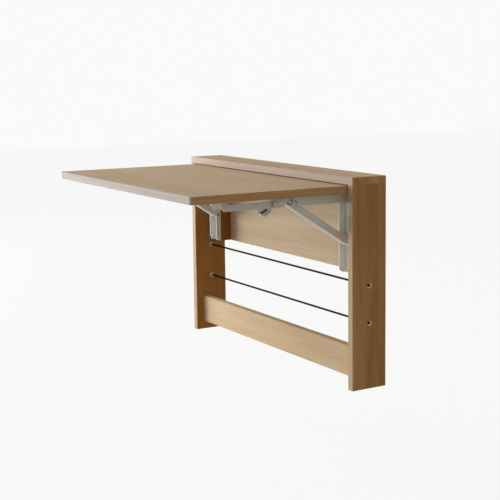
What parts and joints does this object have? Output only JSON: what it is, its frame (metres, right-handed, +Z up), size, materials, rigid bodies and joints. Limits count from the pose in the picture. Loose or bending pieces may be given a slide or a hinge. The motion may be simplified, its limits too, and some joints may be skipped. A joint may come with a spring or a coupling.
{
  "type": "wall mounted drop leaf table",
  "caption": "Oak frame for a wall with a folding table leaf on self-locking steel brackets, a lower rail and black rods across the open bay.",
  "frame": {"origin": "on the wall plane, at the centre of the row of wall screws, in the middle of the table's width", "axes": "+X along the wall to the right when facing it, +Y into the wall, so the leaf stands out towards -Y, +Z up"},
  "size_m": [0.8, 0.495, 0.5],
  "materials": {
    "oak": "satin lacquer over oak veneer",
    "oak_laminate": "matt oak laminate",
    "edge_band": "matt oak edge band",
    "core_board": "raw particle board",
    "beech": "raw beech dowel",
    "grey_steel": "light grey semi matt powder coat",
    "black_steel": "black satin powder coat",
    "zinc_steel": "zinc plated",
    "spring_steel": "bare spring wire",
    "die_cast": "die cast",
    "beige_plastic": "beige moulded plastic",
    "black_plastic": "black moulded plastic",
    "roller_plastic": "off white moulded plastic"
  },
  "bodies": {
    "frame": {"top_board": "oak", "left_side_panel": "oak", "right_side_panel": "oak", "upper_back_rail": "oak", "lower_rail": "oak", "wall_batten": "oak", "left_spacer_block": "oak", "right_spacer_block": "oak", "batten_screws": "zinc_steel", "block_screws": "zinc_steel", "top_board_dowels": "beech", "rail_dowels": "beech", "cam_bolts": "zinc_steel", "cam_locks": "die_cast", "upper_rod": "black_steel", "lower_rod": "black_steel", "rod_ferrules": "beige_plastic", "rod_end_screws": "zinc_steel", "rod_cover_caps": "beige_plastic", "left_wall_plate": "grey_steel", "left_corner_pin": "zinc_steel", "left_foot_pin": "zinc_steel", "left_wall_plate_screws": "zinc_steel", "right_wall_plate": "grey_steel", "right_corner_pin": "zinc_steel", "right_foot_pin": "zinc_steel", "right_wall_plate_screws": "zinc_steel"},
    "leaf": {"leaf_core": "core_board", "leaf_top_laminate": "oak_laminate", "leaf_underside_laminate": "oak_laminate", "leaf_edge_band": "edge_band", "left_arm": "grey_steel", "left_arm_screws": "zinc_steel", "left_lever_rivet": "zinc_steel", "right_arm": "grey_steel", "right_arm_screws": "zinc_steel", "right_lever_rivet": "zinc_steel"},
    "strut_left": {"left_strut": "grey_steel", "left_slide_pin": "zinc_steel", "left_slide_rollers": "roller_plastic"},
    "lever_left": {"left_release_lever": "grey_steel", "left_lever_grip": "black_plastic", "left_latch_dog": "zinc_steel", "left_lever_spring": "spring_steel"},
    "strut_right": {"right_strut": "grey_steel", "right_slide_pin": "zinc_steel", "right_slide_rollers": "roller_plastic"},
    "lever_right": {"right_release_lever": "grey_steel", "right_lever_grip": "black_plastic", "right_latch_dog": "zinc_steel", "right_lever_spring": "spring_steel"}
  },
  "joints": [
    {"name": "leaf_fold", "type": "hinge", "parent": "frame", "child": "leaf", "pos_m": [0, -0.062, -0.001], "axis": [1, 0, 0], "range_deg": [0, 90]},
    {"name": "strut_left_fold", "type": "hinge", "parent": "frame", "child": "strut_left", "pos_m": [-0.325, -0.062, -0.108], "axis": [1, 0, 0], "range_deg": [0, 122.9]},
    {"name": "strut_right_fold", "type": "hinge", "parent": "frame", "child": "strut_right", "pos_m": [0.325, -0.062, -0.108], "axis": [1, 0, 0], "range_deg": [0, 122.9]},
    {"name": "lever_left_pull", "type": "hinge", "parent": "leaf", "child": "lever_left", "pos_m": [-0.325, -0.275, -0.001], "axis": [1, 0, 0], "range_deg": [0, 4.5], "stiffness_Nm_per_rad": 0.5, "springref_deg": -8.59},
    {"name": "lever_right_pull", "type": "hinge", "parent": "leaf", "child": "lever_right", "pos_m": [0.325, -0.275, -0.001], "axis": [1, 0, 0], "range_deg": [0, 4.5], "stiffness_Nm_per_rad": 0.5, "springref_deg": -8.59}
  ],
  "couplings": [
    {"joint": "strut_left_fold", "follows": "leaf_fold", "ratio": 1.3645},
    {"joint": "strut_right_fold", "follows": "leaf_fold", "ratio": 1.3645}
  ]
}
